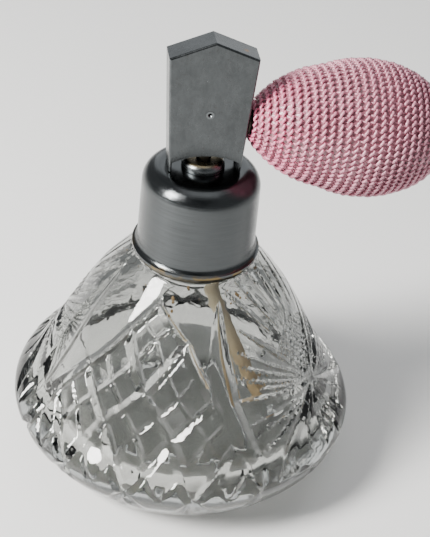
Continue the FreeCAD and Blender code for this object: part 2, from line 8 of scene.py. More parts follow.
import bpy
import numpy as np
from bpy.props import FloatProperty, FloatVectorProperty, IntProperty, PointerProperty
from mathutils import Matrix, Vector


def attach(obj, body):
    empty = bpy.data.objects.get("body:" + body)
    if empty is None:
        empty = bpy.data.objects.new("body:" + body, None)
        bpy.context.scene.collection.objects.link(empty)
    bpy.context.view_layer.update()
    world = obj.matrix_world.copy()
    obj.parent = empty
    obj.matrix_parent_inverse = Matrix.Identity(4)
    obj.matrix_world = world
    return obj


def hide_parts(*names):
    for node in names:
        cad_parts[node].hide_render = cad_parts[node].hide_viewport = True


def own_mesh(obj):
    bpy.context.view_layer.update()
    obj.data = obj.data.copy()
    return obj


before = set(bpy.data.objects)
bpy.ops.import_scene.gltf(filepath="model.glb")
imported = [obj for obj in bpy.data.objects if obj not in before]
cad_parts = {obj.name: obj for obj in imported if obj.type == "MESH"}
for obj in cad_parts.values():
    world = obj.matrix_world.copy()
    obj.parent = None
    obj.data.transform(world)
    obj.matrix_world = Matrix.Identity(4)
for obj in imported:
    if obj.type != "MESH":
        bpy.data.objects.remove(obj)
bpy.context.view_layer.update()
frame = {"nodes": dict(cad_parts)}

bl_info = {
    "name": "Perfume atomiser",
    "version": (1, 0, 0),
    "blender": (4, 5, 0),
    "location": "3D view > Sidebar > Atomiser",
    "description": "Builds a cut glass perfume atomiser with a knitted squeeze bulb",
    "category": "Add Mesh",
}

MM = 0.001
TURN = 2.0 * math.pi

# outer section of the glass, radius by height, smoothed between these places
GLASS_HEIGHTS = [0.0, 1.5, 4.6, 9.0, 13.0, 17.5, 21.0, 24.5, 29.0, 54.0, 59.0, 63.0, 67.0]
GLASS_RADII = [37.5, 39.6, 42.9, 46.4, 49.1, 50.1, 48.3, 45.0, 42.2, 28.4, 24.6, 21.3, 17.8]
# heights of the lattice's crossings, from the lowest row up
LATTICE_HEIGHTS = [16.5, 30.9, 41.1, 54.5, 61.8]
# heading of the first lattice panel, and the four panels' turns from it
PANEL_CENTRE = -116.6
PANEL_TURNS = (0.0, 87.6, 180.0, -92.4)
# upright flutes between the panels: angle from the first panel's centre at six heights
FLUTE_HEIGHTS = [24.0, 28.0, 40.0, 52.0, 58.0, 64.0]
FLUTES = [
    (47.0, 44.1, 37.2, 34.8, 35.8, 38.8), (137.0, 136.0, 135.0, 134.0, 134.0, 134.0),
    (-137.0, -136.0, -135.0, -134.0, -134.0, -134.0), (-53.0, -52.8, -52.5, -52.5, -52.5, -52.5),
]
# the star: height of its centre, and how much longer the slope is than its height
STAR_HEIGHT = 35.0
STAR_SLOPE = 1.155
# blades of the star: bearing, start and end from its centre, half width and depth
STAR = [
    (125.0, 4.0, 31.0, 0.9, 0.70), (138.0, 5.0, 30.0, 0.62, 0.50), (146.0, 5.0, 29.0, 0.6, 0.46),
    (154.0, 5.0, 28.0, 0.6, 0.46), (160.5, 6.0, 23.0, 1.15, 0.80), (169.0, 2.0, 31.0, 1.8, 1.10),
    (-176.0, 9.0, 30.0, 0.6, 0.45), (-168.0, 5.0, 24.0, 0.6, 0.45), (-160.0, 8.0, 33.0, 0.62, 0.5),
    (-148.0, 2.0, 35.0, 1.7, 1.10), (-134.0, 4.0, 22.0, 0.6, 0.45), (-114.0, 4.0, 20.0, 1.0, 0.7),
    (-102.0, 3.0, 17.0, 0.65, 0.5), (112.0, 22.0, 38.0, 0.8, 0.6), (104.0, 22.0, 39.0, 1.1, 0.8),
    (96.0, 22.0, 37.0, 0.8, 0.6), (90.0, 22.0, 36.0, 0.7, 0.5), (-90.0, 2.0, 22.0, 1.3, 1.0),
]

# camera: place, turns down, to the right and about its line of sight, and focal length
CAMERA_PLACE = (-53.38, -300.79, 282.71)
CAMERA_TURNS = (36.004, 11.236, 6.214)
CAMERA_LENS = 89.122

# the bulb: start of its axis, droop, and the cover's outer arcs as (along, radius)
BULB_START = (10.6, 0.0, 108.4)
BULB_DROOP = math.radians(3.2)
BULB_ARCS = [
    ((0.55, 4.3), (8.0, 11.5), (20.0, 16.1)),
    ((20.0, 16.1), (31.5, 18.35), (43.0, 16.2)),
    ((43.0, 16.2), (51.0, 10.8), (55.0, 3.6)),
]
BULB_LENGTH = BULB_ARCS[-1][-1][0]
# the strand shapes below are drawn for stitches of this width
STITCH_WIDTH = 1.8


# ------------------------------------------------------------------ mesh helpers
def new_object(name, verts, faces):
    """Mesh object from vertex positions in millimetres and triangles or quads."""
    mesh = bpy.data.meshes.new(name)
    verts = np.asarray(verts, float) * MM
    faces = [np.asarray(part, np.int64) for part in faces if len(part)]
    loops = np.concatenate([part.ravel() for part in faces])
    sizes = np.concatenate([np.full(len(part), part.shape[1]) for part in faces])
    starts = np.concatenate([[0], np.cumsum(sizes)[:-1]])
    mesh.vertices.add(len(verts))
    mesh.vertices.foreach_set("co", verts.astype(np.float32).ravel())
    mesh.loops.add(len(loops))
    mesh.loops.foreach_set("vertex_index", loops.astype(np.int32))
    mesh.polygons.add(len(sizes))
    mesh.polygons.foreach_set("loop_start", starts.astype(np.int32))
    mesh.polygons.foreach_set("use_smooth", np.ones(len(sizes), bool))
    mesh.update(calc_edges=True)
    mesh.validate()
    obj = bpy.data.objects.new(name, mesh)
    bpy.context.scene.collection.objects.link(obj)
    return obj


def ring_faces(rows, cols, first=0):
    """Quads between neighbouring rings of cols points, wrapped round."""
    row = np.arange(rows - 1)[:, None]
    col = np.arange(cols)[None, :]
    after = (col + 1) % cols
    a = first + row * cols + col
    b = first + row * cols + after
    c = first + (row + 1) * cols + after
    d = first + (row + 1) * cols + col
    return np.stack([a, b, c, d], -1).reshape(-1, 4)


def pole_faces(ring_first, cols, pole, flip):
    """Triangles from a ring to a single pole vertex."""
    col = np.arange(cols)
    after = (col + 1) % cols
    a = ring_first + col
    b = ring_first + after
    tris = np.stack([a, b, np.full(cols, pole)], -1)
    return tris[:, ::-1] if flip else tris


def attribute(obj, name, values):
    """One number for each vertex, for the material to read."""
    layer = obj.data.attributes.new(name, "FLOAT", "POINT")
    layer.data.foreach_set("value", np.asarray(values, np.float32))


def smooth_step(value, low, high):
    """Goes from 0 at low to 1 at high with flat ends."""
    t = np.clip((value - low) / (high - low), 0.0, 1.0)
    return t * t * (3.0 - 2.0 * t)


def monotone(x, xs, ys):
    """Smooth curve through the places: cubic pieces with slopes from the neighbours."""
    xs, ys, x = (np.asarray(a, float) for a in (xs, ys, x))
    step = np.diff(xs)
    rise = np.diff(ys) / step
    slope = np.concatenate([[rise[0]], 0.5 * (rise[1:] + rise[:-1]), [rise[-1]]])
    k = np.clip(np.searchsorted(xs, x, side="right") - 1, 0, len(step) - 1)
    t = (x - xs[k]) / step[k]
    h = step[k]
    return (
        (2 * t**3 - 3 * t**2 + 1) * ys[k]
        + (t**3 - 2 * t**2 + t) * h * slope[k]
        + (-2 * t**3 + 3 * t**2) * ys[k + 1]
        + (t**3 - t**2) * h * slope[k + 1]
    )


# ------------------------------------------------------------------ glass
def cut_line(distance, half_width, depth):
    """A V shaped cut: full depth on the line, falling evenly to nothing at half_width."""
    return depth * np.clip(1.0 - np.abs(distance) / half_width, 0.0, 1.0)


def turn_from(angle, centre):
    """Angle from centre, between -180 and 180."""
    return (angle - centre + 180.0) % 360.0 - 180.0


def lattice_cuts(turn, height, radius):
    """Two families of crossing mitres in unrolled millimetres, each cell split by fine lines.

    A node sits every 20 mm across, a little closer near the top, and neighbouring rows are
    half a cell apart.
    """
    across = np.radians(turn) * radius - np.interp(height, [16.5, 41.0, 54.5, 61.8],
                                                   [1.0, 0.0, 0.0, -2.1])
    across *= np.interp(height, [41.1, 54.5], [1.0, 1.2])
    row = np.interp(height, [5.0] + LATTICE_HEIGHTS + [67.0], [4.9, 4.0, 3.0, 2.0, 1.0, 0.0, -0.6])
    runout = smooth_step(height, 8.0, 16.0)
    depth = np.zeros_like(radius)
    for lane in ((across / 10.0 - row) / 2.0, (across / 10.0 + row) / 2.0):
        wide = (lane - np.round(lane)) * 15.4
        fine = (lane - 0.5 - np.round(lane - 0.5)) * 15.4
        depth = np.maximum(depth, cut_line(wide, 1.9, 1.15) * runout)
        depth = np.maximum(depth, cut_line(fine, 0.9, 0.48) * (height > 16.5))
    below_top = np.minimum(across / 10.0 + row, row - across / 10.0)
    return depth * smooth_step(below_top, -0.22, -0.12)


def star_cuts(turn, height, radius):
    """A fan of lens shaped blades from one centre, with a finely hatched field above it."""
    across = np.radians(turn) * radius
    rise = (height - STAR_HEIGHT) * STAR_SLOPE
    bearing = np.degrees(np.arctan2(rise, across))
    reach = np.hypot(across, rise)
    depth = np.zeros_like(radius)
    for main, start, stop, width, deep in STAR:
        for heading in {main, 180.0 - main}:
            off = np.radians(turn_from(bearing, heading))
            ahead = np.cos(off) > 0.3
            along = (reach * np.cos(off) - start) / (stop - start)
            swell = np.sqrt(np.clip(4.0 * along * (1.0 - along), 0.0, 1.0)) + 1e-4
            blade = cut_line(reach * np.sin(off), width * swell, deep * swell)
            depth = np.maximum(depth, ahead * blade)
    field = (rise > 3.0) & (np.abs(across) < 0.8 * rise) & (rise + 0.7 * np.abs(across) < 22.0)
    for sign in (-1.0, 1.0):
        lane = (across + sign * rise * 0.75) / 2.3
        depth = np.maximum(depth, field * cut_line((lane - np.round(lane)) * 1.8, 0.8, 0.5))
    return depth


def cuts(angle, height, radius):
    """Depth of the cutting at each place of the outer surface.

    angle is in degrees round the axis.  Four upright flutes part the cone into panels: two
    facing ones hold the lattice and two hold the star.  The deepest of all cuts counts, and a
    flute, a round scoop whose width follows its length, clears what it crosses.
    """
    depth = np.zeros_like(radius)
    flutes = [np.interp(height, FLUTE_HEIGHTS, turns) for turns in FLUTES]
    for panel in range(4):
        left, right = flutes[panel - 1], flutes[panel]
        around = (angle - PANEL_CENTRE - left) % 360.0
        within = around < (right - left) % 360.0
        turn = turn_from(angle, PANEL_CENTRE + PANEL_TURNS[panel])
        shape = lattice_cuts if panel % 2 == 0 else star_cuts
        depth = np.maximum(depth, within * shape(turn, height, radius))
    # V cuts run out over the belly's lower edge
    turn = turn_from(angle, PANEL_CENTRE)
    step = (turn / 22.8 - np.round(turn / 22.8)) * 22.8
    depth = np.maximum(depth, cut_line(np.radians(step) * radius, 1.5, 0.95)
                       * smooth_step(height, 3.0, 9.0) * (1.0 - smooth_step(height, 15.0, 17.5)))
    for flute in flutes:
        off = np.radians(turn_from(angle, PANEL_CENTRE + flute)) * radius
        width = monotone(np.clip(height, 18.5, 64.2), [18.5, 20.5, 25.0, 33.0, 44.0, 54.0, 60.0, 64.2],
                         [0.0, 1.7, 3.0, 3.7, 3.8, 2.7, 1.4, 0.0])
        width = np.maximum(width, 1e-4)
        scoop = 1.45 * (width / 3.8) * np.clip(1.0 - (off / width) ** 2, 0.0, 1.0)
        depth = np.where(np.abs(off) < width, scoop, depth)
    return depth


def glass_rows():
    """Heights of the outer surface's rings, close together where the cutting is."""
    rows = [np.linspace(0.0, 6.0, 5)[:-1], np.linspace(6.0, 16.5, 17)[:-1]]
    for low, high in zip(LATTICE_HEIGHTS[:-1], LATTICE_HEIGHTS[1:]):
        rows.append(np.linspace(low, high, 22)[:-1])
    rows.append(np.linspace(LATTICE_HEIGHTS[-1], 67.0, 9))
    return np.concatenate(rows)


def cavity_rows():
    """Inner surface from the mouth to the floor as (radius, height, waviness)."""
    cx, cy, size = arc_circle([(8.0, 64.0), (27.5, 43.6), (40.5, 18.5)])
    start = math.atan2(64.0 - cy, 8.0 - cx)
    stop = math.atan2(18.5 - cy, 40.5 - cx)
    sweep = np.concatenate([np.linspace(0.0, 0.35, 12), np.linspace(0.35, 1.0, 7)[1:]])
    turn = start + (stop - start) * sweep
    wavy = 0.09 * (1.0 - smooth_step(sweep, 0.12, 0.34)) * smooth_step(sweep, 0.0, 0.05)
    rows = [(8.0, 78.4, 0.0), (8.0, 72.0, 0.0), (8.0, 66.5, 0.0)]
    rows += list(zip(cx + size * np.cos(turn), cy + size * np.sin(turn), wavy))
    rows += [(40.5, 16.2, 0.0), (39.6, 12.9, 0.0), (37.6, 10.6, 0.0), (34.5, 9.3, 0.0),
             (30.0, 9.0, 0.0), (18.0, 9.0, 0.0)]
    return rows


def build_bottle(sides):
    """Glass body: rings of points about the axis.

    Each outer point is the smooth section's radius, moved inwards along the section's normal
    by the depth of the cutting.  The same rings go on over the neck and down the cavity, and
    both ends close in a pole.
    """
    heights = glass_rows()
    radii = monotone(heights, GLASS_HEIGHTS, GLASS_RADII)
    lean = np.gradient(radii, heights)
    angle = np.arange(sides) * 360.0 / sides
    wide_angle, wide_height = np.meshgrid(angle, heights)
    wide_radius = np.repeat(radii[:, None], sides, 1)
    depth = cuts(wide_angle, wide_height, wide_radius)
    depth *= smooth_step(wide_height, 0.0, 1.5)
    steep = np.sqrt(1.0 + lean[:, None] ** 2)
    ring_radius = wide_radius - depth / steep
    ring_height = wide_height + depth * lean[:, None] / steep
    turn = np.radians(wide_angle)
    outer = np.stack([ring_radius * np.cos(turn), ring_radius * np.sin(turn), ring_height], -1)

    def plain(places):
        places = np.asarray(places, float)
        t = np.radians(angle)[None, :]
        flat = np.ones_like(t)
        ring = places[:, :1] * flat
        if places.shape[1] > 2:
            ring = ring + places[:, 2:] * (np.sin(5.0 * t + 1.9 * places[:, 1:2])
                                           + 0.6 * np.sin(11.0 * t - 2.7 * places[:, 1:2]))
        return np.stack([ring * np.cos(t), ring * np.sin(t), places[:, 1:2] * flat], -1)

    foot = plain([(8.0, 0.0), (25.6, 0.0), (26.2, 0.25), (28.0, 1.2), (29.8, 0.25), (30.4, 0.0),
                  (36.9, 0.0)])
    neck = plain([(17.2, 67.3), (12.2, 67.45), (11.3, 68.2), (11.2, 72.0), (11.2, 78.3),
                  (10.9, 78.9), (10.2, 79.0), (8.8, 79.0), (8.2, 78.85)])
    cavity = plain(cavity_rows())
    rings = np.concatenate([foot, outer, neck, cavity])
    count = len(rings)
    verts = np.concatenate([rings.reshape(-1, 3), [[0, 0, 0], [0, 0, 9.0]]])
    quads = ring_faces(count, sides)

    # each quad of the cut zone is split along the crease that runs through it
    solid = np.zeros((count, sides))
    solid[len(foot):len(foot) + len(heights)] = -depth
    nxt = np.roll(solid, -1, 1)
    a, b = solid[:-1], nxt[:-1]
    d, c = solid[1:], nxt[1:]
    blur = 0.25 * (np.roll(solid, 1, 1) + np.roll(solid, -2, 1))
    around = blur[:-1] + blur[1:]
    hollow = around > 0.25 * (a + b + c + d)
    first = a + c
    second = b + d
    take_first = np.where(hollow, first < second, first > second).ravel()
    tris = np.concatenate([
        quads[take_first][:, [0, 1, 2]], quads[take_first][:, [0, 2, 3]],
        quads[~take_first][:, [0, 1, 3]], quads[~take_first][:, [1, 2, 3]],
    ])
    ends = [pole_faces(0, sides, count * sides, True),
            pole_faces((count - 1) * sides, sides, count * sides + 1, False)]
    obj = new_object("glass_body", verts, [np.concatenate([tris] + ends)])
    attribute(obj, "inner", np.arange(len(verts)) >= (count - len(cavity)) * sides)
    obj.data.set_sharp_from_angle(angle=math.radians(24.0))
    return obj


# ------------------------------------------------------------------ bulb
def arc_circle(places):
    """Centre and radius of the circle through three places."""
    (ax, ay), (bx, by), (cx, cy) = places
    d = 2 * (ax * (by - cy) + bx * (cy - ay) + cx * (ay - by))
    ux = ((ax**2 + ay**2) * (by - cy) + (bx**2 + by**2) * (cy - ay)
          + (cx**2 + cy**2) * (ay - by)) / d
    uy = ((ax**2 + ay**2) * (cx - bx) + (bx**2 + by**2) * (ax - cx)
          + (cx**2 + cy**2) * (bx - ax)) / d
    return ux, uy, math.hypot(ax - ux, ay - uy)


def bulb_section(count):
    """The cover's outer arcs sampled evenly by length: along, radius and normal."""
    along, radius = [], []
    for places in BULB_ARCS:
        cx, cy, size = arc_circle(places)
        start = math.atan2(places[0][1] - cy, places[0][0] - cx)
        stop = math.atan2(places[2][1] - cy, places[2][0] - cx)
        sweep = np.linspace(start, stop, 200)
        along.append(cx + size * np.cos(sweep))
        radius.append(cy + size * np.sin(sweep))
    along = np.concatenate(along)
    radius = np.concatenate(radius)
    length = np.concatenate([[0.0], np.cumsum(np.hypot(np.diff(along), np.diff(radius)))])
    even = np.linspace(0.0, length[-1], count)
    u = np.interp(even, length, along)
    r = np.interp(even, length, radius)
    du = np.gradient(u)
    dr = np.gradient(r)
    size = np.hypot(du, dr)
    return u, r, -dr / size, du / size, length[-1]


def to_row_frame(u, y, w):
    """Points given along, across and above the bulb's axis, turned down and put in place."""
    c, s = math.cos(BULB_DROOP), math.sin(BULB_DROOP)
    return np.stack([BULB_START[0] + u * c + w * s, BULB_START[1] + y,
                     BULB_START[2] - u * s + w * c], -1)


def bulb_shell(name, outside, inside, rows, sides, ripple=None, front=0.0, back=0.0):
    """Closed shell between two depths under the cover's outer surface.

    The section's places are moved inwards along their normals, to outside on the way out and
    to inside on the way back, and turned about the bulb's axis.  ripple(turn, distance) adds
    height to the outer skin.
    """
    u, r, nu, nr, total = bulb_section(rows)
    keep = (u > front) & (u < BULB_LENGTH - back)
    u, r, nu, nr = u[keep], r[keep], nu[keep], nr[keep]
    far = np.linspace(0.0, total, rows)[keep]
    turn = np.arange(sides) * TURN / sides
    rise = ripple(turn[None, :], far[:, None]) if ripple else np.zeros((len(u), sides))
    out_u = u[:, None] + nu[:, None] * (rise - outside)
    out_r = np.maximum(r[:, None] + nr[:, None] * (rise - outside), 2.75)
    in_u = np.repeat((u - nu * inside)[:, None], sides, 1)[::-1]
    in_r = np.repeat(np.maximum(r - nr * inside, 2.7)[:, None], sides, 1)[::-1]
    all_u = np.concatenate([out_u, in_u])
    all_r = np.concatenate([out_r, in_r])
    verts = to_row_frame(all_u, all_r * np.cos(turn), all_r * np.sin(turn)).reshape(-1, 3)
    rows_all = len(all_u)
    quads = ring_faces(rows_all, sides)
    last = (rows_all - 1) * sides
    col = np.arange(sides)
    after = (col + 1) % sides
    close = np.stack([last + col, last + after, after, col], -1)
    quads = np.concatenate([quads, close])[:, ::-1]
    return new_object(name, verts, [quads])


def stitch_places(row_pitch, stitch_pitch):
    """Centres of the stitches: rings at an even pitch, each turned half a stitch."""
    u, r, nu, nr, total = bulb_section(1200)
    length = np.linspace(0.0, total, 1200)
    rings = int(total / row_pitch)
    places = []
    for k in range(rings):
        at = (k + 0.45) * total / rings
        ring_r = np.interp(at, length, r)
        count = max(int(round(TURN * ring_r / stitch_pitch)), 10)
        theta = (np.arange(count) + 0.5 * (k % 2) + 0.13 * math.sin(2.3 * k)) * TURN / count
        full = np.ones(count)
        places.append(np.stack([
            np.interp(at, length, u) * full, ring_r * full, np.interp(at, length, nu) * full,
            np.interp(at, length, nr) * full, theta, TURN * ring_r / count * full], -1))
    return np.concatenate(places)


def strands(name, places, shape, thickness, seed, sides=6):
    """Short yarn strands, one for each place.

    A strand is a tube round a path given along the bulb, across it and above its surface, in
    shape; its radius swells in the middle and both ends close on a point.
    """
    rng = np.random.default_rng(seed)
    count = len(places)
    path = np.asarray(shape, float)
    steps = len(path)
    u, r, nu, nr, theta, pitch = places.T
    jitter = rng.normal(0.0, 1.0, (count, 4))
    scale = pitch / STITCH_WIDTH
    lean = jitter[:, 0] * 0.10
    p = path[None, :, 0] * (1.0 + 0.06 * jitter[:, 1:2]) + lean[:, None] * path[None, :, 1]
    q = path[None, :, 1] * scale[:, None] - lean[:, None] * path[None, :, 0]
    high = path[None, :, 2] + 0.05 * jitter[:, 2:3]
    # the path in the bulb's own frame
    mer_u, mer_r = nr, -nu
    base_u = u[:, None] + mer_u[:, None] * p + nu[:, None] * high
    base_r = r[:, None] + mer_r[:, None] * p + nr[:, None] * high
    turn = theta[:, None] + q / np.maximum(r[:, None], 2.0)
    centre = np.stack([base_u, base_r * np.cos(turn), base_r * np.sin(turn)], -1)
    tangent = np.gradient(centre, axis=1)
    tangent /= np.linalg.norm(tangent, axis=-1, keepdims=True)
    normal = np.stack([np.repeat(nu[:, None], steps, 1), nr[:, None] * np.cos(turn),
                       nr[:, None] * np.sin(turn)], -1)
    normal -= (normal * tangent).sum(-1, keepdims=True) * tangent
    normal /= np.linalg.norm(normal, axis=-1, keepdims=True)
    side = np.cross(tangent, normal)
    swell = thickness * path[None, :, 3] * (1.0 + 0.08 * jitter[:, 3:4])
    spin = np.arange(sides) * TURN / sides
    tube = (centre[:, :, None, :]
            + swell[:, :, None, None] * (normal[:, :, None, :] * np.cos(spin)[None, None, :, None]
                                         * 0.85
                                         + side[:, :, None, :]
                                         * np.sin(spin)[None, None, :, None]))
    first_tip = centre[:, 0] - tangent[:, 0] * swell[:, :1] * 0.7
    last_tip = centre[:, -1] + tangent[:, -1] * swell[:, -1:] * 0.7
    body = tube.reshape(count, -1, 3)
    verts = np.concatenate([body, first_tip[:, None], last_tip[:, None]], 1)
    each = verts.shape[1]
    quads = ring_faces(steps, sides)
    tips = np.concatenate([pole_faces(0, sides, each - 2, True),
                           pole_faces((steps - 1) * sides, sides, each - 1, False)])
    shift = (np.arange(count) * each)[:, None, None]
    quads = (quads[None] + shift).reshape(-1, 4)
    tips = (tips[None] + shift).reshape(-1, 3)
    flat = verts.reshape(-1, 3)
    obj = new_object(name, to_row_frame(flat[:, 0], flat[:, 1], flat[:, 2]),
                     [quads[:, ::-1], tips[:, ::-1]])
    attribute(obj, "shade", np.repeat(rng.random(count), each))
    attribute(obj, "far", np.repeat(u, each))
    return obj


def soft_on_head(obj, nodes=()):
    """Rides on the head with a mesh of its own, and hides the parts it replaces."""
    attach(obj, "head")
    if nodes:
        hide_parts(*nodes)
    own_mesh(obj)


# ------------------------------------------------------------------ materials
class Nodes:
    """Small helper that adds and links shader nodes."""

    def __init__(self, name):
        self.mat = bpy.data.materials.new(name)
        self.mat.use_nodes = True
        self.tree = self.mat.node_tree
        self.shader = self.tree.nodes["Principled BSDF"]
        self.coords = self.tree.nodes.new("ShaderNodeTexCoord").outputs["Object"]

    def put(self, kind, inputs=None, **settings):
        """A new node with its settings and inputs."""
        node = self.tree.nodes.new(kind)
        for key, value in settings.items():
            setattr(node, key, value)
        for key, value in (inputs or {}).items():
            self.feed(node.inputs[key], value)
        return node

    def feed(self, socket, value):
        """Links a socket's output, or sets a constant."""
        if isinstance(value, bpy.types.NodeSocket):
            self.tree.links.new(value, socket)
        else:
            socket.default_value = value

    def set(self, **values):
        """Feeds the surface shader's inputs, named with _ for a space."""
        for key, value in values.items():
            self.feed(self.shader.inputs[key.replace("_", " ")], value)

    def mapped(self, scale):
        """Object coordinates stretched by scale."""
        return self.put("ShaderNodeMapping", {"Vector": self.coords, "Scale": scale}).outputs[0]

    def noise(self, scale, detail=3.0, rough=0.55, vector=None):
        """Noise from 0 to 1 over object coordinates, or over vector."""
        node = self.put("ShaderNodeTexNoise", {
            "Vector": vector or self.coords, "Scale": scale, "Detail": detail,
            "Roughness": rough})
        return node.outputs["Fac"]

    def ramp(self, value, stops):
        """Grey ramp over (position, level) stops."""
        node = self.put("ShaderNodeValToRGB", {"Fac": value})
        ramp = node.color_ramp
        while len(ramp.elements) < len(stops):
            ramp.elements.new(0.5)
        for element, (place, level) in zip(ramp.elements, stops):
            element.position = place
            element.color = (level, level, level, 1.0)
        return node.outputs["Color"]

    def math(self, operation, a, b):
        """One sum or product of two values."""
        node = self.put("ShaderNodeMath", operation=operation)
        self.feed(node.inputs[0], a)
        self.feed(node.inputs[1], b)
        return node.outputs[0]

    def mix(self, factor, a, b):
        """Colour a where factor is 0, colour b where it is 1."""
        node = self.put("ShaderNodeMix", data_type="RGBA")
        self.feed(node.inputs["Factor"], factor)
        self.feed(node.inputs[6], a)
        self.feed(node.inputs[7], b)
        return node.outputs[2]

    def bump(self, height, strength, distance):
        """Surface direction tilted by a height; distance is its depth in metres."""
        inputs = {"Height": height, "Strength": strength, "Distance": distance}
        return self.put("ShaderNodeBump", inputs).outputs[0]

    def axis(self, which):
        """Object coordinate 0, 1 or 2: x, y or z in metres."""
        return self.put("ShaderNodeSeparateXYZ", {"Vector": self.coords}).outputs[which]


def rgb(values):
    """Colour with full opacity."""
    return (*values, 1.0)


def glass_material():
    """Heavy clear glass with a grey body, faint smears and polishing waves."""
    n = Nodes("cut_glass")
    smear = n.ramp(n.noise(90.0, 4.0), [(0.45, 0.0), (0.8, 0.055)])
    wave = n.noise(420.0, 1.0)
    body = n.mix(n.noise(35.0, 2.0), (0.50, 0.51, 0.49, 1), (0.43, 0.44, 0.42, 1))
    inner = n.put("ShaderNodeAttribute", attribute_name="inner").outputs["Fac"]
    n.set(Base_Color=n.mix(inner, body, (0.97, 0.97, 0.97, 1)),
          Roughness=smear, Normal=n.bump(wave, 0.12, 0.0002))
    n.shader.inputs["IOR"].default_value = 1.53
    n.shader.inputs["Transmission Weight"].default_value = 1.0
    return n.mat


def chrome_material(name, colour, direction, wear=None, wear_colour=(0.17, 0.12, 0.05, 1),
                    matt=1.0):
    """Plated metal: brushed lines along one direction, haze, pits and worn spots."""
    n = Nodes(name)
    lines = n.noise(1.0, 5.0, 0.75, n.mapped(direction))
    haze = n.noise(160.0, 4.0)
    pits = n.ramp(n.noise(1500.0, 1.0), [(0.68, 0.0), (0.74, 1.0)])
    rough = n.math("ADD", n.math("MULTIPLY", lines, 0.30 * matt),
                   n.math("MULTIPLY", haze, 0.20 * matt))
    tone = n.mix(haze, rgb(colour), rgb([c * 0.8 for c in colour]))
    tone = n.mix(n.ramp(lines, [(0.35, 0.0), (0.65, 0.6)]), tone, rgb([c * 1.45 for c in colour]))
    tone = n.mix(n.math("MULTIPLY", pits, 0.35), tone, (0.05, 0.045, 0.04, 1))
    if wear is not None:
        tone = n.mix(wear(n), tone, wear_colour)
    n.set(Base_Color=tone, Roughness=rough, Normal=n.bump(lines, 0.5, 0.0001))
    n.shader.inputs["Metallic"].default_value = 1.0
    return n.mat


def rim_wear(n):
    """Brass shows along the collar's lower edge, in broken patches."""
    low = n.ramp(n.math("MULTIPLY", n.axis(2), 10.0), [(0.6905, 1.0), (0.703, 0.0)])
    broken = n.ramp(n.noise(210.0, 4.0), [(0.52, 0.0), (0.58, 1.0)])
    return n.math("MULTIPLY", low, broken)


def head_wear(n):
    """A brown spot where the plating has gone on the housing's right slope."""
    away = n.put("ShaderNodeVectorMath", {0: n.coords, 1: (0.0083, -0.0008, 0.1294)},
                 operation="DISTANCE").outputs["Value"]
    ragged = n.math("ADD", n.math("MULTIPLY", away, 500.0), n.noise(900.0, 2.0))
    return n.ramp(ragged, [(0.55, 1.0), (1.0, 0.0)])


def bush_wear(n):
    """The bush's top face is rubbed through to the brass."""
    high = n.ramp(n.math("MULTIPLY", n.axis(2), 10.0), [(0.9655, 0.0), (0.969, 1.0)])
    broken = n.ramp(n.noise(500.0, 3.0), [(0.25, 0.6), (0.6, 1.0)])
    return n.math("MULTIPLY", high, broken)


def brass_material(name, colour, rough=0.35):
    """Aged brass: blotchy tarnish over turned metal."""
    n = Nodes(name)
    blotch = n.noise(260.0, 5.0, 0.65)
    n.set(Base_Color=n.mix(n.ramp(blotch, [(0.35, 0.0), (0.7, 1.0)]), rgb(colour),
                           rgb([c * 0.4 for c in colour])),
          Roughness=n.ramp(blotch, [(0.3, rough), (0.8, rough + 0.3)]),
          Normal=n.bump(n.noise(2400.0, 2.0), 0.2, 0.0001))
    n.shader.inputs["Metallic"].default_value = 0.9
    return n.mat


def yarn_material(name, light, deep, warm):
    """Shiny yarn: fibres along the strand, colour that differs by stitch and by place."""
    n = Nodes(name)
    shade = n.put("ShaderNodeAttribute", attribute_name="shade").outputs["Fac"]
    far = n.put("ShaderNodeAttribute", attribute_name="far").outputs["Fac"]
    fibre = n.noise(1.0, 4.0, 0.6, n.mapped((900.0, 4200.0, 4200.0)))
    tone = n.mix(n.math("MULTIPLY", shade, 0.55), rgb(light), rgb(deep))
    near = n.ramp(n.math("MULTIPLY", far, 1.0 / BULB_LENGTH), [(0.05, 1.0), (0.38, 0.0)])
    stain = n.ramp(n.noise(120.0, 3.0), [(0.4, 0.25), (0.65, 1.0)])
    tone = n.mix(n.math("MULTIPLY", near, stain), tone, rgb(warm))
    tone = n.mix(n.math("MULTIPLY", fibre, 0.3), tone, rgb(deep))
    n.set(Base_Color=tone, Roughness=n.ramp(fibre, [(0.3, 0.26), (0.7, 0.42)]),
          Normal=n.bump(fibre, 0.35, 0.0001))
    n.shader.inputs["Specular IOR Level"].default_value = 1.0
    return n.mat


def matt_material(name, light, dark, scale, rough=0.75, bump=0.4):
    """Matt surface with grainy colour variation: plaster, rubber, plastic."""
    n = Nodes(name)
    grain = n.noise(scale, 5.0, 0.6)
    n.set(Base_Color=n.mix(n.ramp(grain, [(0.35, 0.0), (0.7, 1.0)]), rgb(light), rgb(dark)),
          Roughness=n.ramp(grain, [(0.3, rough - 0.1), (0.7, rough + 0.1)]),
          Normal=n.bump(n.noise(scale * 6.0, 3.0), bump, 0.0002))
    return n.mat


def tube_material():
    """Aged tube: cream at the top, stained brown towards its lower end."""
    n = Nodes("stained_tube")
    low = n.ramp(n.math("MULTIPLY", n.axis(2), 12.0), [(0.30, 1.0), (0.55, 0.0)])
    grain = n.noise(400.0, 4.0)
    tone = n.mix(n.math("MULTIPLY", low, 0.85), (0.70, 0.60, 0.42, 1), (0.52, 0.34, 0.14, 1))
    tone = n.mix(n.math("MULTIPLY", grain, 0.3), tone, (0.40, 0.32, 0.20, 1))
    n.set(Base_Color=tone, Roughness=n.ramp(grain, [(0.3, 0.4), (0.7, 0.6)]),
          Normal=n.bump(grain, 0.2, 0.0001))
    return n.mat


